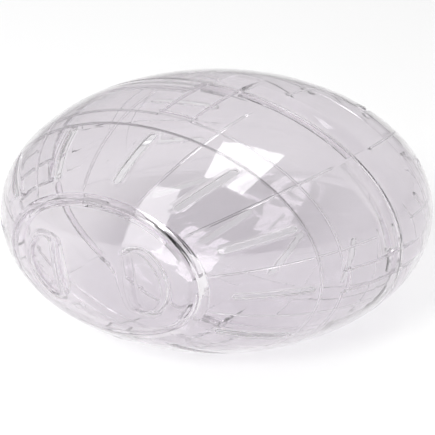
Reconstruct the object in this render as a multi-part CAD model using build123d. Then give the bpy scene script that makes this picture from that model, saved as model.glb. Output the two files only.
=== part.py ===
from build123d import *
import math
import os

os.makedirs("parts", exist_ok=True)

# Size of the oval ball. It lies along X and rests on its underside.
BALL_LENGTH = 189.6
BALL_WIDTH = 125.0
WALL = 1.2
FIT = 0.3
SEAM_GAP = 0.2

# Places on the ball are given as on a globe. The first angle runs from the middle of the door
# towards the seam at 90 degrees, and the clock angle runs from the top, clockwise seen from the door.
# Every piece is shaped on a round globe, turned about Z by GLOBE_TURN and then stretched along X.
GLOBE_TURN = 35.0
SEAM_AT = 90.0

# Door, its opening and the collar around it
DOOR_EDGE_AT = 30.2
COLLAR_AT = 32.6
SEAT_GAP = 0.2
LEDGE_WIDTH = 1.3
LEDGE_THICK = 1.2
SKIRT_THICK = 1.0
SKIRT_DEPTH = 4.0
KEY_COUNT = 4
KEY_TURN = -6.0
KEY_WIDTH = 7.0
KEY_GAP = 0.4
KEY_DEPTH = 3.6

# Two finger pockets sunk into the door. Each has a straight side towards the middle, a round outer side
# and a flat floor, whose depth is counted from the door's highest point.
POCKET_REACH = 22.8
POCKET_SIDE = 11.8
POCKET_CORNER = 3.7
POCKET_LEAN = 6.5
POCKET_DEPTH = 6.0
POCKET_WALL = 1.2

# Vent slots through the wall, and thin ribs and rings on its inside that give the animal a grip.
# The pattern of both halves is turned a little clockwise from the top.
PATTERN_TURN = 1.5
VENT_COUNT = 12
VENT_FROM = 39.0
VENT_TO = 60.0
VENT_SPAN = 1.9
RIB_FROM = 36.0
RIB_TO = 81.0
RIB_SPAN = 0.8
RIB_HEIGHT = 0.6
RING_AT = (62.3, 69.0)
RING_SPAN = 0.6

# Latches at the seam: a tongue of the rear half slides between two rails of the front half.
# Between the latches, the halves take turns with a lip.
LATCH_COUNT = 4
LATCH_SPAN = 10.6
LATCH_FROM = 70.5
LATCH_TO = 106.0
RAIL_WIDTH = 0.8
RAIL_HEIGHT = 1.2
TONGUE_SPAN = 8.4
TONGUE_TIP = 86.5
TONGUE_THICK = 1.2
TONGUE_GAP = 0.75
LIP_REACH = 1.4
LIP_ROOT = 8.4
LIP_THICK = 1.0
LIP_GAP = 0.4
LIP_SIDE = 0.8

# Values worked out from the ones above
RADIUS = BALL_WIDTH / 2
STRETCH = BALL_LENGTH / BALL_WIDTH
FAR = 4 * RADIUS
TURN_SIN = math.sin(math.radians(GLOBE_TURN))
TURN_COS = math.cos(math.radians(GLOBE_TURN))
GLOBE = Plane(origin=(0, 0, 0), x_dir=(TURN_COS, -TURN_SIN, 0), z_dir=(-TURN_SIN, -TURN_COS, 0))


# Distance from the seam, along the door's axis, of a globe angle
def height(angle):
    return RADIUS * math.cos(math.radians(angle))


# Distance of a globe angle from the door's axis
def reach(angle):
    return RADIUS * math.sin(math.radians(angle))


# The round ball, grown or shrunk by an even amount
def ball(grow):
    return Rot(0, 0, 7.5) * Sphere(RADIUS + grow)


# A bar along the door's axis, on the door's side or on both sides of the seam
def bar(radius, both=False):
    return Pos(0, 0, 0 if both else FAR / 4) * Cylinder(radius, FAR if both else FAR / 2)


# The space between two globe angles
def band(near, far):
    top = height(near)
    low = height(far)
    return Pos(0, 0, (top + low) / 2) * Box(FAR, FAR, top - low)


# The space between two clock angles
def wedge(start, end):
    points = [(0, 0)]
    for k in range(3):
        c = math.radians(start + (end - start) * k / 2)
        points.append((FAR * math.sin(c), FAR * math.cos(c)))
    face = make_face(Polyline(*points, close=True))
    return extrude(face, amount=FAR / 2, both=True)


# A slice of even width along the line of one clock angle
def strip(clock, width):
    return Rot(0, 0, -clock) * Pos(0, FAR / 4, 0) * Box(width, FAR / 2, FAR)


# A width given in degrees of the globe
def span(degrees):
    return 2 * RADIUS * math.sin(math.radians(degrees) / 2)


# A round-ended hole through the wall along the line of one clock angle
def vent(clock, near, far):
    mid = (near + far) / 2
    place = Rot(0, 0, -clock) * Rot(-mid, 0, 0) * Pos(0, 0, RADIUS - 6)
    slot = SlotOverall(span(far - near), span(VENT_SPAN), rotation=90)
    return extrude(place * slot, amount=12)


wall = ball(0) - ball(-WALL)
core = ball(-WALL / 2)
rib_layer = core - ball(-WALL - RIB_HEIGHT)
rail_layer = core - ball(-WALL - RAIL_HEIGHT)


# Ribs and rings inside one half. The rear half mirrors the globe angles of the front half.
def ribs(mirror):
    def turn(near, far):
        return (180 - far, 180 - near) if mirror else (near, far)

    parts = []
    layer = rib_layer & band(*turn(RIB_FROM, RIB_TO))
    for k in range(VENT_COUNT):
        parts.append(layer & strip((k + 0.5) * 360 / VENT_COUNT, span(RIB_SPAN)))
    for angle in RING_AT:
        hoop = rib_layer & band(*turn(angle - RING_SPAN / 2, angle + RING_SPAN / 2))
        if angle == RING_AT[-1]:
            for k in range(LATCH_COUNT):
                hoop = hoop - strip(k * 360 / LATCH_COUNT, span(LATCH_SPAN))
        parts.append(hoop)
    return parts


# Rails of the front half, one along each side of a tongue and one across its end
def rails():
    parts = []
    layer = rail_layer & band(LATCH_FROM, SEAM_AT)
    end = rail_layer & band(LATCH_FROM, LATCH_FROM + math.degrees(RAIL_WIDTH / RADIUS))
    for k in range(LATCH_COUNT):
        clock = k * 360 / LATCH_COUNT
        room = strip(clock, span(LATCH_SPAN))
        parts.append(layer & (room - strip(clock, span(LATCH_SPAN) - 2 * RAIL_WIDTH)))
        parts.append(end & room)
    return parts


# Lips inside the seam. Each half has one in every second eighth of the way round.
def lips(front):
    inside = bar(RADIUS - WALL - LIP_GAP - LIP_THICK, True)
    ring = bar(RADIUS - WALL - LIP_GAP, True) - inside
    clear = LATCH_SPAN / 2 + LIP_SIDE
    if front:
        free = band(SEAM_AT, SEAM_AT + LIP_REACH)
        held = band(SEAM_AT - LIP_ROOT, SEAM_AT)
    else:
        free = band(SEAM_AT - LIP_REACH, SEAM_AT)
        held = band(SEAM_AT, SEAM_AT + LIP_ROOT)
    rim = (ring & free) + ((core - inside) & held)
    parts = []
    for k in range(LATCH_COUNT):
        mid = k * 360 / LATCH_COUNT
        if front:
            parts.append(rim & wedge(mid + 45 + LIP_SIDE, mid + 90 - clear))
        else:
            parts.append(rim & wedge(mid + clear, mid + 45 - LIP_SIDE))
    return parts


# Tongues of the rear half that reach between the rails of the front half
def tongues():
    inside = bar(RADIUS - WALL - TONGUE_GAP - TONGUE_THICK, True)
    ring = (bar(RADIUS - WALL - TONGUE_GAP, True) - inside) & band(TONGUE_TIP, SEAM_AT)
    rim = ring + ((core - inside) & band(SEAM_AT, LATCH_TO))
    return [rim & strip(k * 360 / LATCH_COUNT, span(TONGUE_SPAN)) for k in range(LATCH_COUNT)]


# Each half stops half of the seam gap short of the seam
front_room = Pos(0, 0, SEAM_GAP / 2 + FAR / 4) * Box(FAR, FAR, FAR / 2)
rear_room = Pos(0, 0, -SEAM_GAP / 2 - FAR / 4) * Box(FAR, FAR, FAR / 2)
door_radius = reach(DOOR_EDGE_AT)
hole_radius = door_radius + FIT
skirt_radius = door_radius - LEDGE_WIDTH
ledge_radius = skirt_radius + FIT

# Front half with the door opening
front = (wall + ribs(False) + rails()) & front_room
for k in range(VENT_COUNT):
    front = front - vent(k * 360 / VENT_COUNT, VENT_FROM, VENT_TO)
front = Rot(0, 0, -PATTERN_TURN) * (front + lips(True))
ledge = (core - ball(-WALL - SEAT_GAP - LEDGE_THICK)) & (bar(reach(COLLAR_AT)) - bar(ledge_radius))
front = front + ledge - (bar(hole_radius) - ball(-WALL - SEAT_GAP)) - bar(ledge_radius)
for k in range(KEY_COUNT):
    notch = strip(KEY_TURN + k * 360 / KEY_COUNT, KEY_WIDTH + 2 * KEY_GAP)
    front = front - (notch & bar(hole_radius))

# Rear half, closed at its end
rear = (wall + ribs(True)) & rear_room
for k in range(VENT_COUNT):
    rear = rear - vent(k * 360 / VENT_COUNT, 180 - VENT_TO, 180 - VENT_FROM)
rear = Rot(0, 0, -PATTERN_TURN) * (rear + lips(False) + tongues())


# The outline of a finger pocket on one side of the door, grown by an even amount
def pocket(turn, grow):
    side = POCKET_SIDE - grow
    outline = Circle(POCKET_REACH + grow) & Pos(side + FAR / 2, 0) * Rectangle(FAR, FAR)
    return Rot(0, 0, turn) * fillet(outline.vertices(), POCKET_CORNER + grow)


# Door with its skirt, keys and finger pockets
door = wall & bar(door_radius)
door = door + ((core - ball(-SKIRT_DEPTH)) & (bar(skirt_radius) - bar(skirt_radius - SKIRT_THICK)))
key_ring = (core - ball(-KEY_DEPTH)) & (bar(door_radius - FIT) - bar(skirt_radius - SKIRT_THICK / 2))
for k in range(KEY_COUNT):
    door = door + (key_ring & strip(KEY_TURN + k * 360 / KEY_COUNT, KEY_WIDTH))
for turn in (POCKET_LEAN, POCKET_LEAN + 180):
    cup = Pos(0, 0, RADIUS - POCKET_DEPTH - POCKET_WALL) * extrude(pocket(turn, POCKET_WALL), amount=FAR / 4)
    dip = Pos(0, 0, RADIUS - POCKET_DEPTH) * extrude(pocket(turn, 0), amount=FAR / 4)
    door = door + (cup & core) - dip

# Every piece is turned to face the way the door looks and stretched along X
for name, piece in (("front_shell", front), ("rear_shell", rear), ("door", door)):
    piece = scale(GLOBE * piece, by=(STRETCH, 1, 1))
    print(name, len(piece.solids()), round(piece.volume, 1), piece.is_valid)
    export_step(piece, f"parts/{name}.step")
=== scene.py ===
"""A clear oval hamster ball on a white table: two vented half shells and a plug-in door."""
import math
import bmesh
import bpy
import numpy as np
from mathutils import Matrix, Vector
from mathutils.geometry import delaunay_2d_cdt


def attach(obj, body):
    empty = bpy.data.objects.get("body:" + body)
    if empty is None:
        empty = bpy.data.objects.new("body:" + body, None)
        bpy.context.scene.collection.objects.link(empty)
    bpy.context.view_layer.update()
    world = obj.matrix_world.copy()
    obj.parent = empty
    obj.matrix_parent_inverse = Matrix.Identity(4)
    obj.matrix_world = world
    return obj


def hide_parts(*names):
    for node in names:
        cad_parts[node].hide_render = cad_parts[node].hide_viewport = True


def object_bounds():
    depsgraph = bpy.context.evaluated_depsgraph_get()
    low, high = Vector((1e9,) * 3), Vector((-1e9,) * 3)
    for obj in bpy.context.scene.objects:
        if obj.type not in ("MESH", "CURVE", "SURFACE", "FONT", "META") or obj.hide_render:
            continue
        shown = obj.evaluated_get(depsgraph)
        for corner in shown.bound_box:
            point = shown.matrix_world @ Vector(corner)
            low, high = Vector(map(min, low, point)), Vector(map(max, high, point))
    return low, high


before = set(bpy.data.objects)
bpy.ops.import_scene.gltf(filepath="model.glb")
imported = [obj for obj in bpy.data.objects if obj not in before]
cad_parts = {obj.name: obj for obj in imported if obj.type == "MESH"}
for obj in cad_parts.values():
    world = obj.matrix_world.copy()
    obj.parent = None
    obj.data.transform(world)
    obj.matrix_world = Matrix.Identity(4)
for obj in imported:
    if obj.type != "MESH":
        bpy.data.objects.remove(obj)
CAD_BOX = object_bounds()
MM = 0.001

# The ball, in millimetres. Places are given as on a globe, by the angle from the middle of the door
# and by the clock angle from the top, clockwise seen from the door.
BALL_LENGTH = 189.6
BALL_WIDTH = 125.0
RADIUS = BALL_WIDTH / 2
STRETCH = BALL_LENGTH / BALL_WIDTH
GLOBE_TURN = math.radians(35.0)
WALL = 1.2
RIB_HEIGHT = 0.6
SEAM_GAP = 0.2

# Door and the opening it sits in
DOOR_EDGE = math.radians(30.2)
COLLAR_EDGE = math.radians(32.6)
FIT = 0.3
SEAT_DEPTH = 1.4
LEDGE_DEPTH = 2.8
LEDGE_SLOPE = 0.18
LEDGE_WIDTH = 1.3
SKIRT_THICK = 1.0
SKIRT_DEPTH = 4.0
KEY_CLOCK = -6.0
KEY_HALF = 6.5
KEY_DEPTH = 3.6
POCKET_REACH = 22.8
POCKET_SIDE = 11.8
POCKET_CORNER = 3.7
POCKET_LEAN = 6.5
POCKET_DEPTH = 6.0
POCKET_WALL = 1.2

# Slots through the wall, and ribs, rings, latch rails, tongues and lips inside it
PATTERN_TURN = 1.5
VENT_FROM = 39.0
VENT_TO = 60.0
VENT_HALF = 1.036
RIB_FROM = 36.0
RIB_TO = 81.0
RIB_HALF = 0.436
REAR_RIB_SHARE = 0.45
RING_AT = (62.3, 69.0)
RING_HALF = 0.3
RING_STEPS = (-1, -0.98, -0.9, -0.6, 0, 0.6, 0.9, 0.98, 1)
RAIL_FROM = 70.5
RAIL_END = 71.2
RAIL_HALF = 5.77
RAIL_IN = 4.97
RAIL_HEIGHT = 1.2
RAIL_STEPS = (0, 0.08, 0.5, 0.92, 1)
TONGUE_HALF = 4.58
TONGUE_TIP = 86.5
TONGUE_ROOT = 104.5
TONGUE_OUT = RADIUS - WALL - 0.75
TONGUE_IN = TONGUE_OUT - 1.2
LIP_OUT = RADIUS - WALL - 0.4
LIP_IN = LIP_OUT - 1.0
LIP_CLEAR = 6.64
LIP_ROOT = 8.4
LIP_REACH = 1.4

# Size of the rounding on moulded edges, and of the draft of the finger pockets
EDGE = 0.4
EDGE_STEPS = (0.05, 0.17, EDGE)
RIM_EDGE = 0.15
RIM_STEPS = (0.02, 0.07, RIM_EDGE)
RIM_SPREAD = 1.2
RIM_DRAFT = 0.13
POCKET_DRAFT = 0.2

# Values kept at the shells' vertices: how matt a slot's edge is, and how much painted shade darkens a ring's
# colour, a dark line in place of the one that refraction through the ring gives. The painted shade of each
# front ring is strongest at the clock angle it leans to.
MARKS = ("frost", "ring")
FROST_WIDTH = 0.45
RING_SHADE_LEAN = (0, -60)
RING_PAINTED_SHADE = (1, 0.7)

# Grid of the shells: rows at most this far apart, and the narrowing of its lines near the ends of the globe
ROW_STEP = 1.8
NARROW_FROM = math.radians(28)
# Smallest difference of two layers, in millimetres, that leaves a side wall between them
SAME = 1e-4


def turned(side, lift, out):
    """Points of the stretched ball, in metres, from millimetres on the globe as seen from the door."""
    x = STRETCH * (side * math.cos(GLOBE_TURN) - out * math.sin(GLOBE_TURN))
    y = -side * math.sin(GLOBE_TURN) - out * math.cos(GLOBE_TURN)
    return np.stack([x, y, lift], axis=-1) * MM


def on_ball(angle, clock, offset, axial=0.0):
    """Points of the stretched ball for arrays of angles in radians and offsets in millimetres.
    The offset runs towards the middle of the globe, or along the door's axis where axial is 1."""
    reach = RADIUS * np.sin(angle) * (1 + (1 - axial) * offset / RADIUS)
    out = np.sqrt(np.maximum(0, (RADIUS + offset) ** 2 - reach**2)) * np.sign(np.cos(angle))
    return turned(reach * np.sin(clock), reach * np.cos(clock), out)


def moulded(angle, clock, layers, cell_layers, axial=0.0, pole=None, marks=()):
    """A moulding on a grid of the globe. angle and clock hold the grid's corners, row by row and all the
    way round. layers gives each layer's offsets at the corners. cell_layers gives, for each cell, the names
    of its outer and inner layer, or None where there is a hole. marks holds arrays of values at the corners.
    It returns the vertices, the faces, the rings of vertices that are left open at the pole row, and each
    vertex's marks."""
    rows, columns = angle.shape
    places = {key: on_ball(angle, clock, offset, axial) for key, offset in layers.items()}
    vertices = []
    marked = []
    index = {}
    faces = []

    def corner(i, j, layer):
        key = (i, j % columns, layer)
        if key not in index:
            index[key] = len(vertices)
            vertices.append(tuple(places[layer][i, j % columns]))
            marked.append([mark[i, j % columns] for mark in marks])
        return index[key]

    def cell(i, j):
        return cell_layers[i][j % columns] if 0 <= i < rows - 1 else None

    def between(i, j, high, low):
        """Corners of the layers that meet at a grid corner, from high to low."""
        at = (i, j % columns)
        top, bottom = layers[high][at], layers[low][at]
        met = {layer for di in (-1, 0) for dj in (-1, 0) for layer in (cell(i + di, j + dj) or ())}
        met = [layer for layer in met if bottom + SAME < layers[layer][at] < top - SAME]
        met.sort(key=lambda layer: -layers[layer][at])
        return [corner(i, j, layer) for layer in (high, *met, low)]

    def side_wall(here, there, first, last):
        """The part of a cell's side that its neighbour leaves open."""
        outer, inner = here
        spans = [(outer, inner)]
        if there:
            spans = []
            if any(layers[outer][c] > layers[there[0]][c] + SAME for c in (first, last)):
                spans.append((outer, there[0]))
            if any(layers[inner][c] < layers[there[1]][c] - SAME for c in (first, last)):
                spans.append((there[1], inner))
        for high, low in spans:
            faces.append(between(*first, high, low) + between(*last, high, low)[::-1])

    for i in range(rows - 1):
        for j in range(columns):
            here = cell(i, j)
            if not here:
                continue
            ring = [(i, j), (i, j + 1), (i + 1, j + 1), (i + 1, j)]
            faces.append([corner(*c, here[0]) for c in ring])
            faces.append([corner(*c, here[1]) for c in reversed(ring)])
            across = [(i - 1, j), (i, j + 1), (i + 1, j), (i, j - 1)]
            for k in range(4):
                if across[k][0] in (-1, rows - 1) and pole is not None and across[k][0] - pole in (-1, 0):
                    continue
                first, last = ring[k], ring[(k + 1) % 4]
                ends = [(c[0], c[1] % columns) for c in (first, last)]
                side_wall(here, cell(*across[k]), *ends)
    rings = []
    if pole is not None:
        for layer in cell_layers[min(pole, rows - 2)][0]:
            rings.append([corner(pole, j, layer) for j in range(columns)])
    return vertices, faces, rings, marked


def finish_mesh(name, vertices, faces, marked, body, node, material):
    """Turns all faces outwards, keeps the moulded edges crisp and places the piece on its body."""
    mesh = bpy.data.meshes.new(name)
    mesh.from_pydata(vertices, [], faces)
    for k, mark in enumerate(MARKS):
        values = np.zeros(len(vertices), dtype=np.float32)
        values[: len(marked)] = [own[k] if own else 0.0 for own in marked]
        mesh.attributes.new(mark, "FLOAT", "POINT").data.foreach_set("value", values)
    shape = bmesh.new()
    shape.from_mesh(mesh)
    bmesh.ops.dissolve_degenerate(shape, dist=1e-7, edges=shape.edges)
    bmesh.ops.recalc_face_normals(shape, faces=shape.faces)
    shape.to_mesh(mesh)
    shape.free()
    mesh.shade_smooth()
    mesh.set_sharp_from_angle(angle=math.radians(50))
    mesh.materials.append(material)
    piece = bpy.data.objects.new(name, mesh)
    bpy.context.scene.collection.objects.link(piece)
    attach(piece, body)
    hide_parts(node)
    return piece


def row_angles(lines, step):
    """Globe angles in degrees: the given lines, with even rows of at most step degrees between them."""
    rows = [lines[0]]
    for start, end in zip(lines, lines[1:]):
        count = max(1, math.ceil((end - start) / step - 1e-6))
        rows += [start + (end - start) * k / count for k in range(1, count + 1)]
    return np.array(rows)


def bead(distance, half, height):
    """Height of a rounded bead at a distance from its middle line."""
    return height * np.sqrt(np.maximum(0, 1 - (distance / half) ** 2))


def ridge(distance, half, height):
    """Height of a ridge with steep sides at a distance from its middle line."""
    return height * np.sqrt(np.maximum(0, 1 - np.abs(distance / half) ** 8))


def rounding(distance, radius=EDGE):
    """How far a rounded edge has dropped at a distance from the edge."""
    near = np.clip(radius - distance, 0, radius)
    return radius - np.sqrt(radius**2 - near**2)


def shell_grid(rows):
    """Corners of a shell's grid. Its columns follow the slots, the latches and the ribs, whose widths
    stay even."""
    angle = np.radians(rows)
    reach = RADIUS * np.sin(angle)
    squeeze = np.minimum(1, np.sin(angle) / math.sin(NARROW_FROM))
    slot = [VENT_HALF * math.sin(math.pi / 2 * k / 4) for k in range(1, 5)]
    slot += [VENT_HALF + step for step in EDGE_STEPS]
    rail = [RAIL_IN + (RAIL_HALF - RAIL_IN) * k for k in RAIL_STEPS]
    plain = [2.9, TONGUE_HALF, *rail, LIP_CLEAR]
    near = [np.arcsin(np.minimum(0.99, d * squeeze / reach)) for d in slot + plain]
    foot = [np.arcsin(np.minimum(0.99, RIB_HALF * k * squeeze / reach)) for k in (1, 0.9, 0.6, 0.3)]
    rib = [math.radians(15) - f for f in foot]
    fill = [near[-1] + (rib[0] - near[-1]) * k / 5 for k in range(1, 5)]
    half = near + fill + rib
    sector = [-c for c in reversed(half)] + [0 * angle] + half + [0 * angle + math.radians(15)]
    clock = np.stack([c + math.radians(30 * k) for k in range(12) for c in sector], axis=1)
    return np.repeat(angle[:, None], clock.shape[1], axis=1), clock


def slot_offset(angle, clock):
    """How far each corner lies to the side of the nearest slot's middle line."""
    return RADIUS * np.sin(angle) * np.sin((clock + math.pi / 12) % (math.pi / 6) - math.pi / 12)


def round_slot_ends(angle, clock, ends):
    """Bends the grid's rows at the ends of the slots so that the ends and their rounded edges are round."""
    flat = angle.copy()
    for end, way in ends:
        for step in (0, *EDGE_STEPS):
            row = int(np.argmin(np.abs(flat[:, 1] - math.radians(end) + way * step / RADIUS)))
            off = np.abs(slot_offset(flat[row], clock[row]))
            size = VENT_HALF + step
            bend = size - np.sqrt(np.maximum(0, size**2 - off**2))
            away = np.clip((LIP_CLEAR - off) / (LIP_CLEAR - size), 0, 1)
            angle[row] += way * np.where(off < size + 0.001, bend, size * away) / RADIUS


def from_slot(angle, clock, near, far):
    """Distance of each corner from the outline of the nearest slot."""
    along = np.abs(angle - math.radians((near + far) / 2)) * RADIUS
    straight = math.radians(far - near) / 2 * RADIUS - VENT_HALF
    return np.hypot(np.maximum(0, along - straight), slot_offset(angle, clock)) - VENT_HALF


def shell_mesh(rear):
    """One half shell. The rear half mirrors the angles of the front half, has tongues, and closes at its
    end."""
    steps = [math.degrees(step / RADIUS) for step in EDGE_STEPS]
    lines = [RIB_FROM, VENT_FROM, VENT_FROM + 2.5, VENT_TO - 2.5, VENT_TO]
    lines += [VENT_FROM - step for step in steps] + [VENT_TO + step for step in steps]
    for at in RING_AT:
        lines += [at + RING_HALF * k for k in RING_STEPS]
    gap = math.degrees(SEAM_GAP / 2 / RADIUS)
    lines += [RAIL_FROM + (RAIL_END - RAIL_FROM) * k for k in RAIL_STEPS]
    lines += [RIB_TO, 90 - LIP_ROOT, 90 - gap] + [90 - gap - step for step in steps]
    tip = 90 - LIP_REACH if rear else 90 + LIP_REACH
    tips = [tip + step * (1 if rear else -1) for step in (0, *steps)]
    hole = math.degrees(math.asin((RADIUS * math.sin(DOOR_EDGE) + FIT) / RADIUS))
    if rear:
        lines = [180 - a for a in lines] + [160, 170, 176, 179]
        lines += [TONGUE_TIP, *[TONGUE_TIP + step for step in steps], TONGUE_ROOT, *tips]
    else:
        ledge = math.degrees(math.asin((RADIUS * math.sin(DOOR_EDGE) + FIT - LEDGE_WIDTH) / RADIUS))
        lines += [ledge, hole, math.degrees(COLLAR_EDGE), *tips]
        lines += [hole + math.degrees(step * RIM_SPREAD / RADIUS) for step in RIM_STEPS]
    rows = row_angles(sorted(lines), ROW_STEP)
    angle, clock = shell_grid(rows)
    vents = (180 - VENT_TO, 180 - VENT_FROM) if rear else (VENT_FROM, VENT_TO)
    round_slot_ends(angle, clock, [(vents[0], 1), (vents[1], -1)])

    # Rounded edges of the slots, of the seam and of the door's opening, and beads for ribs and rings
    mirror = np.pi - angle if rear else angle
    soft = rounding(np.maximum(0, from_slot(angle, clock, *vents)))
    seam = rounding(np.maximum(0, math.radians(90 - gap) - mirror) * RADIUS)
    rim = 0 * angle
    if not rear:
        rim = rounding(np.maximum(0, angle - math.radians(hole)) * RADIUS, RIM_EDGE)
    to_rib = RADIUS * np.sin(angle) * np.sin(clock % (math.pi / 6) - math.pi / 12)
    squeeze = np.minimum(1, np.sin(angle) / math.sin(NARROW_FROM))
    ribbed = (mirror >= math.radians(RIB_FROM - 0.01)) & (mirror <= math.radians(RIB_TO + 0.01))
    tall = REAR_RIB_SHARE * RIB_HEIGHT if rear else RIB_HEIGHT
    ring_shape = bead if rear else ridge
    raised = ribbed * bead(to_rib, RIB_HALF * squeeze, tall)
    to_latch = np.abs(RADIUS * np.sin(angle) * np.sin((clock + math.pi / 4) % (math.pi / 2) - math.pi / 4))
    for at in RING_AT:
        ring = ring_shape(np.degrees(mirror) - at, RING_HALF, tall)
        raised = np.maximum(raised, ring * ((at == RING_AT[0]) | (to_latch > RAIL_HALF - 0.01)))
    flat = 0 * angle
    opening = RADIUS * math.sin(DOOR_EDGE) + FIT
    ledge_level = math.sqrt((RADIUS - LEDGE_DEPTH) ** 2 - opening**2)
    if not rear:
        half = (RAIL_HALF - RAIL_IN) / 2
        long_rail = bead(to_latch - RAIL_IN - half, half, RAIL_HEIGHT)
        long_rail *= np.degrees(angle) > RAIL_FROM - 0.01
        middle = (RAIL_FROM + RAIL_END) / 2
        cross_rail = bead(np.degrees(angle) - middle, middle - RAIL_FROM, RAIL_HEIGHT)
        cross_rail *= to_latch < RAIL_HALF + 0.01
        raised = np.maximum(raised, np.maximum(long_rail, cross_rail))

    # Lips and tongues grow out of the wall and have round ends
    def grown(inside, root):
        full = np.clip((np.degrees(mirror) - root) / (88 - root), 0, 1)
        full = full * full * (3 - 2 * full)
        return -WALL + (inside / np.sin(angle) - RADIUS + WALL) * full

    lip_tip = rounding(np.maximum(0, np.abs(np.degrees(angle) - tip)) * math.pi / 180 * RADIUS)
    tongue_tip = rounding(np.maximum(0, np.degrees(angle) - TONGUE_TIP) * math.pi / 180 * RADIUS)
    from_axis = RADIUS * np.sin(angle)
    layers = {
        "wall": flat - np.maximum(np.maximum(soft, seam), rim),
        "seat": flat - SEAT_DEPTH,
        "inside": flat - WALL - raised + soft,
        "ledge": np.hypot(ledge_level + LEDGE_SLOPE * (from_axis - opening), from_axis) - RADIUS,
        "lip_out": LIP_OUT / np.sin(angle) - RADIUS - lip_tip,
        "lip_in": grown(LIP_IN, 90 - LIP_ROOT) + lip_tip,
        "tongue_out": TONGUE_OUT / np.sin(angle) - RADIUS - tongue_tip,
        "tongue_in": grown(TONGUE_IN, 180 - TONGUE_ROOT) + tongue_tip,
    }
    mid_row = (rows[1:] + rows[:-1]) / 2
    mid_clock = clock + (np.roll(clock, -1, axis=1) - clock + math.pi) % (2 * math.pi) / 2 - math.pi / 2
    mid_clock = np.degrees((mid_clock[1:] + mid_clock[:-1]) / 2) % 360

    def cell(i, j):
        theta, turn = mid_row[i], mid_clock[i, j]
        mirrored = 180 - theta if rear else theta
        reach = RADIUS * math.sin(math.radians(theta))
        slot = abs(reach * math.sin(math.radians((turn + 15) % 30 - 15)))
        rib = abs(reach * math.sin(math.radians(turn % 30 - 15)))
        latch = abs(reach * math.sin(math.radians((turn + 45) % 90 - 45)))
        at_latch = abs((turn + 45) % 90 - 45) < 15
        own_eighth = (turn % 90 > 45) != rear and (rib > RIB_HALF or abs(turn % 90 - 45) > 2)
        lip = own_eighth and not (at_latch and latch < LIP_CLEAR)
        tongue = rear and at_latch and latch < TONGUE_HALF
        if mirrored > 90 - gap:
            if tongue:
                return ("tongue_out", "tongue_in")
            return ("lip_out", "lip_in") if lip and abs(mirrored - 90) < LIP_REACH else None
        if not rear and reach < RADIUS * math.sin(DOOR_EDGE) + FIT:
            notch = abs((turn + PATTERN_TURN - KEY_CLOCK + 45) % 90 - 45) < KEY_HALF + 0.8
            return None if notch else ("seat", "ledge")
        if VENT_FROM < mirrored < VENT_TO and slot < VENT_HALF:
            return None
        if not rear and theta < math.degrees(COLLAR_EDGE):
            return ("wall", "ledge")
        if lip and mirrored > 90 - LIP_ROOT:
            return ("wall", "lip_in")
        if tongue and theta < TONGUE_ROOT:
            return ("wall", "tongue_in")
        return ("wall", "inside")

    frost = np.clip(1 - from_slot(angle, clock, *vents) / FROST_WIDTH, 0, 1)
    # Painted shade on the front rings: a darker colour, strongest at each ring's lean, standing in for the
    # dark line that refraction gives.
    painted_ring_shade = 0 * angle
    for at, lean, tint in zip(RING_AT, RING_SHADE_LEAN, RING_PAINTED_SHADE):
        on_ring = np.abs(np.degrees(mirror) - at) < 0.99 * RING_HALF
        if not rear:
            painted_ring_shade += tint * on_ring * np.clip(np.cos(clock - math.radians(lean)), 0, 1)
    marks = (frost, painted_ring_shade)
    cells = [[cell(i, j) for j in range(clock.shape[1])] for i in range(len(mid_row))]
    clock = clock + math.radians(PATTERN_TURN)
    if not rear:
        axial = np.clip((RIB_FROM - rows) / (RIB_FROM - math.degrees(COLLAR_EDGE)), 0, 1)[:, None]
        axial = (1 - RIM_DRAFT) * axial
        vertices, faces, _, marked = moulded(angle, clock, layers, cells, axial, marks=marks)
        return vertices, faces, marked
    last = len(rows) - 1
    vertices, faces, rings, marked = moulded(angle, clock, layers, cells, 0.0, last, marks)
    for ring, depth in zip(rings, (0, -WALL)):
        vertices.append(tuple(on_ball(np.array(math.pi), np.array(0.0), depth)))
        faces += [(ring[k - 1], ring[k], len(vertices) - 1) for k in range(len(ring))]
    return vertices, faces, marked


def pocket_loop(turn, grow):
    """Points around a finger pocket, seen from the door, grown by an even amount."""
    centre = POCKET_SIDE + POCKET_CORNER
    end = math.sqrt((POCKET_REACH - POCKET_CORNER) ** 2 - centre**2)
    spread = math.atan2(end, centre)
    corner = POCKET_CORNER + grow
    points = [((POCKET_REACH + grow) * math.cos(a), (POCKET_REACH + grow) * math.sin(a))
              for a in np.linspace(-spread, spread, 40)]
    points += [(centre + corner * math.cos(a), end + corner * math.sin(a))
               for a in np.linspace(spread, math.pi, 22)[1:]]
    points += [(POCKET_SIDE - grow, b) for b in np.linspace(end, -end, 26)[1:]]
    points += [(centre + corner * math.cos(a), corner * math.sin(a) - end)
               for a in np.linspace(math.pi, 2 * math.pi - spread, 22)[1:-1]]
    c, s = math.cos(turn), math.sin(turn)
    return [(a * c - b * s, a * s + b * c) for a, b in points]


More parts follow.
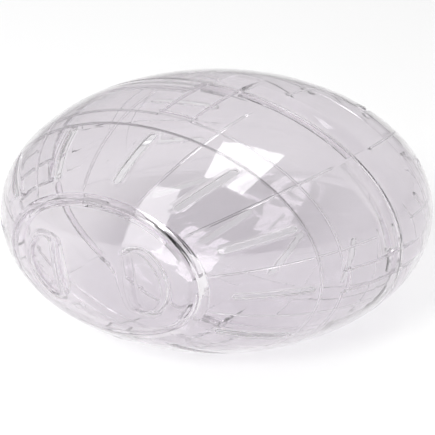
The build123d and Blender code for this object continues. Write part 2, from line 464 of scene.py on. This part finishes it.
def sunk_face(vertices, faces, ring, edge, depth, grow, rim, floor, foot):
    """Fills the door's middle inside a ring of vertices: a dome, depth below the outside, with two pockets
    that have a round rim, a steep side and a flat floor with a round foot."""
    def dome(reach):
        return math.sqrt((RADIUS - depth) ** 2 - reach**2)

    def place(points, level):
        found = []
        for side, lift in points:
            found.append(len(vertices))
            out = level(math.hypot(side, lift))
            vertices.append(tuple(turned(np.array(side), np.array(lift), np.array(out))))
        return found

    steps = []
    for k in range(7):
        a = math.pi / 2 * k / 6
        drop = rim * (1 - math.cos(a))
        steps.append((grow + rim * (1 - math.sin(a)), lambda reach, drop=drop: dome(reach) - drop))
    for k in range(7):
        a = math.pi / 2 * k / 6
        up = foot * (1 - math.sin(a))
        steps.append((grow - POCKET_DRAFT - foot * (1 - math.cos(a)), lambda reach, up=up: floor + up))

    lean = math.radians(POCKET_LEAN)
    flat = [(edge * math.sin(math.radians(k)), edge * math.cos(math.radians(k))) for k in range(len(ring))]
    known = list(ring)
    for turn in (lean, lean + math.pi):
        rings = [(pocket_loop(turn, size), level) for size, level in steps]
        placed = [place(points, level) for points, level in rings]
        for outer, inner in zip(placed, placed[1:]):
            faces.extend((outer[k - 1], outer[k], inner[k], inner[k - 1]) for k in range(len(outer)))
        for at in (0, -1):
            flat += rings[at][0]
            known += placed[at]

    def from_pocket(side, lift):
        """Signed distance to the nearer pocket's outline."""
        best = 99.0
        centre = POCKET_SIDE + POCKET_CORNER
        end = math.sqrt((POCKET_REACH - POCKET_CORNER) ** 2 - centre**2)
        for turn in (lean, lean + math.pi):
            a = side * math.cos(turn) + lift * math.sin(turn)
            b = abs(lift * math.cos(turn) - side * math.sin(turn))
            gap = max(math.hypot(a, b) - POCKET_REACH, POCKET_SIDE - a)
            if b > end and centre * (b - end) > end * (a - centre):
                gap = math.hypot(a - centre, b - end) - POCKET_CORNER
            best = min(best, gap)
        return best

    top, low = steps[0][0], steps[-1][0]
    for i in range(-16, 17):
        for j in range(-18, 19):
            side, lift = 1.9 * (i + 0.5 * (j % 2)), 1.65 * j
            gap = from_pocket(side, lift)
            if math.hypot(side, lift) > edge - 0.9 or low - 0.9 < gap < top + 0.9:
                continue
            known += place([(side, lift)], steps[0 if gap > 0 else -1][1])
            flat.append((side, lift))
    joined = delaunay_2d_cdt([Vector(p) for p in flat], [], [], 0, 1e-5)
    spots, triangles = joined[0], joined[2]
    for triangle in triangles:
        side = sum(spots[k].x for k in triangle) / 3
        lift = sum(spots[k].y for k in triangle) / 3
        if not low - 1e-3 < from_pocket(side, lift) < top - 1e-3:
            faces.append([known[joined[3][k][0]] for k in triangle])


def door_mesh():
    """The door: a lid with a skirt, four keys and two sunken finger pockets with rounded rims."""
    rim = RADIUS * math.sin(DOOR_EDGE)
    skirt = rim - LEDGE_WIDTH
    edge = skirt - SKIRT_THICK
    marks = [edge, skirt, rim - FIT] + [rim - step for step in RIM_STEPS] + [rim]
    marks.sort()
    reach = [marks[0]]
    for start, end in zip(marks, marks[1:]):
        count = math.ceil((end - start) / 0.8)
        reach += [start + (end - start) * k / count for k in range(1, count + 1)]
    turns = np.radians(np.arange(0, 360, 1.0))
    angle, clock = np.meshgrid(np.arcsin(np.array(reach) / RADIUS), turns, indexing="ij")
    flat = 0 * angle
    layers = {
        "top": flat - rounding(rim - RADIUS * np.sin(angle), RIM_EDGE),
        "under": flat - WALL,
        "skirt": flat - SKIRT_DEPTH,
        "key": flat - KEY_DEPTH,
    }
    mid_reach = [(a + b) / 2 for a, b in zip(reach, reach[1:])]

    def cell(i, j):
        if mid_reach[i] < skirt:
            return ("top", "skirt")
        keyed = abs((j + 0.5 - KEY_CLOCK + 45) % 90 - 45) < KEY_HALF
        return ("top", "key" if keyed and mid_reach[i] < rim - FIT else "under")

    cells = [[cell(i, j) for j in range(360)] for i in range(len(mid_reach))]
    vertices, faces, rings, marked = moulded(angle, clock, layers, cells, 1.0, 0)
    under = len(vertices)
    vertices += [tuple(p) for p in on_ball(angle[0], clock[0], flat[0] - WALL, 1.0)]
    inner = list(range(under, under + 360))
    faces += [(rings[1][k - 1], rings[1][k], inner[k], inner[k - 1]) for k in range(360)]
    floor = RADIUS - POCKET_DEPTH
    sunk_face(vertices, faces, rings[0], edge, 0.0, -0.6, 0.6, floor, 0.6)
    sunk_face(vertices, faces, inner, edge, WALL, POCKET_WALL - 0.6, 1.6, floor - POCKET_WALL, 0.8)
    return vertices, faces, marked


class Value:
    """A shader socket that can be used in Python expressions."""

    def __init__(self, tree, socket):
        self.tree = tree
        self.socket = socket

    def node(self, kind, settings=None, inputs=None, output=0):
        made = self.tree.nodes.new(kind)
        for key, value in (settings or {}).items():
            setattr(made, key, value)
        for key, value in (inputs or {}).items():
            if isinstance(value, Value):
                self.tree.links.new(value.socket, made.inputs[key])
            else:
                made.inputs[key].default_value = value
        return Value(self.tree, made.outputs[output])

    def math(self, operation, other):
        return self.node("ShaderNodeMath", {"operation": operation}, {0: self, 1: other})

    def __add__(self, other):
        return self.math("ADD", other)

    __radd__ = __add__

    def __mul__(self, other):
        return self.math("MULTIPLY", other)

    __rmul__ = __mul__

    def __sub__(self, other):
        return self.math("SUBTRACT", other)

    def __rsub__(self, other):
        return self.node("ShaderNodeMath", {"operation": "SUBTRACT"}, {0: other, 1: self})

    def clipped(self):
        return self.node("ShaderNodeClamp", {}, {"Value": self})


def new_material(name):
    """An empty material, with a Value to start expressions from and its output node."""
    material = bpy.data.materials.new(name)
    material.use_nodes = True
    tree = material.node_tree
    tree.nodes.clear()
    return material, Value(tree, None), tree.nodes.new("ShaderNodeOutputMaterial")


def clear_plastic(name, tint, deep, shade):
    """Clear moulded plastic: faint flow marks in its tint, fine scuffs in its gloss, a slight ripple, matt
    slot edges, and painted shade that darkens the colour along the front rings. shade is the share of light
    that a shadow ray keeps at each surface."""
    material, start, output = new_material(name)
    place = start.node("ShaderNodeTexCoord", output=3)
    flow = start.node("ShaderNodeTexNoise", {}, {"Vector": place, "Scale": 18.0, "Detail": 3.0})
    scuff = start.node("ShaderNodeTexNoise", {}, {"Vector": place, "Scale": 260.0, "Detail": 4.0})
    colour = start.node(
        "ShaderNodeMix", {"data_type": "RGBA"}, {0: flow, 6: (*tint, 1), 7: (*deep, 1)}, output=2
    )
    frost = start.node("ShaderNodeAttribute", {"attribute_name": "frost"}, output=2)
    ring = start.node("ShaderNodeAttribute", {"attribute_name": "ring"}, output=2)
    # Painted shade: along the marked front rings the colour goes towards dark grey.
    colour = start.node(
        "ShaderNodeMix", {"data_type": "RGBA"}, {0: ring, 6: colour, 7: (0.45, 0.43, 0.45, 1)}, output=2
    )
    ripple = start.node("ShaderNodeBump", {}, {"Strength": 0.04, "Distance": 0.0006, "Height": flow})
    glass = start.node(
        "ShaderNodeBsdfPrincipled",
        {},
        {
            "Base Color": colour,
            "Roughness": 0.015 + 0.03 * scuff + 0.3 * frost,
            "Normal": ripple,
            "IOR": 1.585,
            "Transmission Weight": 1.0,
        },
    )
    matt = start.node("ShaderNodeBsdfDiffuse", {}, {"Color": (0.7, 0.69, 0.7, 1)})
    glass = start.node("ShaderNodeMixShader", {}, {0: frost * 0.25, 1: glass, 2: matt})
    seen = start.node("ShaderNodeLightPath", output=1)
    shadow = start.node("ShaderNodeBsdfTransparent", {}, {"Color": (*shade, 1)})
    mixed = start.node("ShaderNodeMixShader", {}, {0: seen, 1: glass, 2: shadow})
    start.tree.links.new(mixed.socket, output.inputs["Surface"])
    return material


SHELL_PLASTIC = clear_plastic("clear_shell", (0.975, 0.95, 0.978), (0.96, 0.935, 0.962), (0.905, 0.90, 0.91))
DOOR_PLASTIC = clear_plastic("clear_door", (0.98, 0.957, 0.982), (0.965, 0.945, 0.967), (0.915, 0.91, 0.92))

front = finish_mesh("front_half_shell", *shell_mesh(False), "front_half", "front_shell", SHELL_PLASTIC)
rear = finish_mesh("rear_half_shell", *shell_mesh(True), "rear_half", "rear_shell", SHELL_PLASTIC)
lid = finish_mesh("door_lid", *door_mesh(), "lid", "door", DOOR_PLASTIC)

# White table. It looks lighter to the camera and in reflections, so that it stays white around the ball.
FLOOR = CAD_BOX[0][2]
SPREAD = 4.0
CAMERA_LIFT = 0.235
MIRROR_LIFT = 0.3
table_mesh = bpy.data.meshes.new("table")
table_mesh.from_pydata(
    [(-SPREAD, -SPREAD, FLOOR), (SPREAD, -SPREAD, FLOOR), (SPREAD, SPREAD, FLOOR), (-SPREAD, SPREAD, FLOOR)],
    [],
    [(0, 1, 2, 3)],
)
table = bpy.data.objects.new("table", table_mesh)
bpy.context.scene.collection.objects.link(table)
table_finish, start, output = new_material("white_table")
matt = start.node("ShaderNodeBsdfDiffuse", {}, {"Color": (0.62, 0.62, 0.62, 1)})
path = start.node("ShaderNodeLightPath", output=0)
glossy = Value(start.tree, path.socket.node.outputs["Is Glossy Ray"])
through = Value(start.tree, path.socket.node.outputs["Is Transmission Ray"])
glow = path * CAMERA_LIFT + glossy * (1 - through) * MIRROR_LIFT
lit = start.node("ShaderNodeEmission", {}, {"Color": (1, 1, 1, 1), "Strength": glow})
both = start.node("ShaderNodeAddShader", {}, {0: matt, 1: lit})
start.tree.links.new(both.socket, output.inputs["Surface"])
table_mesh.materials.append(table_finish)

# Pale tent around the ball, brighter above on the right, with a dark opening towards the camera.
# The camera itself sees white.
TENT_GLOW = 0.58
SIDE_GLOW = 0.1
OPENING_GLOW = 0.0
BRIGHT_SIDE = (0.80, 0.0, 0.60)
OPENING_SIDE = (-0.1, -0.92, 0.38)
OPENING_STEEP = 3.2
OPENING_START = 1.7
world = bpy.data.worlds.new("studio")
bpy.context.scene.world = world
world.use_nodes = True
sky = Value(world.node_tree, None)
world.node_tree.nodes.clear()
way = sky.node("ShaderNodeTexCoord", output=0)


def towards(side):
    """How far a direction of the room points to one side, from -1 to 1."""
    return sky.node("ShaderNodeVectorMath", {"operation": "DOT_PRODUCT"}, {0: way, 1: side}, output=1)


tent = towards(BRIGHT_SIDE).clipped() * SIDE_GLOW + TENT_GLOW
opening = (towards(OPENING_SIDE) * OPENING_STEEP - OPENING_START).clipped()
room = tent + (OPENING_GLOW - tent) * opening
seen = sky.node("ShaderNodeLightPath", output=0)
back = sky.node("ShaderNodeBackground", {}, {"Color": (1, 1, 1, 1), "Strength": room + (1 - room) * seen})
sky_output = world.node_tree.nodes.new("ShaderNodeOutputWorld")
world.node_tree.links.new(back.socket, sky_output.inputs["Surface"])


def soft_box(name, place, size, aim, glow, turn=0.0):
    """A rectangular studio lamp that faces aim. glow is how bright its face looks, where 1 is white paper."""
    lamp = bpy.data.lights.new(name, "AREA")
    lamp.shape = "RECTANGLE"
    lamp.size, lamp.size_y = size
    lamp.energy = glow * math.pi * size[0] * size[1]
    stand = bpy.data.objects.new(name, lamp)
    stand.location = place
    face = (Vector(aim) - Vector(place)).to_track_quat("-Z", "Y").to_euler()
    face.rotate_axis("Z", turn)
    stand.rotation_euler = face
    bpy.context.scene.collection.objects.link(stand)
    return stand


# The first two lamps make the bright patches on the ball. The third makes the shadow on the right, and
# neither reflections nor the view through the plastic show it.
LAMP_GLOW = 3.8
OVERHEAD_TURN = math.radians(-3.8)
soft_box("tall_left_lamp", (-1.18, -2.32, 1.44), (0.70, 3.0), (0, 0, 1.44), 0.75 * LAMP_GLOW)
soft_box(
    "overhead_lamp", (0.27, -1.01, 2.378), (1.662, 1.214), (-1.302, -0.722, 1.174), LAMP_GLOW, OVERHEAD_TURN
)
shadow_lamp = soft_box("left_shadow_lamp", (-0.79, -1.37, 1.53), (0.6, 0.6), (0, 0, 0), 10.0 * LAMP_GLOW)
shadow_lamp.visible_glossy = False
shadow_lamp.visible_transmission = False

# Camera, placed as the photograph was taken. The pixel values are of its 435 pixel frame.
IMAGE = 435.0
BALL_CENTRE = (216.72, 210.89)
FOCAL = 1419.25
DISTANCE = 10 * RADIUS * MM
ELEVATION = math.radians(32.9)
camera_data = bpy.data.cameras.new("camera")
camera = bpy.data.objects.new("camera", camera_data)
camera.location = (0, -DISTANCE * math.cos(ELEVATION), DISTANCE * math.sin(ELEVATION))
camera.rotation_euler = (math.pi / 2 - ELEVATION, 0, 0)
camera_data.sensor_width = 36.0
camera_data.lens = 36.0 * FOCAL / IMAGE
camera_data.shift_x = (IMAGE / 2 - BALL_CENTRE[0]) / IMAGE
camera_data.shift_y = -(IMAGE / 2 - BALL_CENTRE[1]) / IMAGE
bpy.context.scene.collection.objects.link(camera)
bpy.context.scene.camera = camera

scene = bpy.context.scene
scene.view_settings.view_transform = "Standard"
scene.cycles.max_bounces = 40
scene.cycles.transmission_bounces = 40
scene.cycles.glossy_bounces = 40
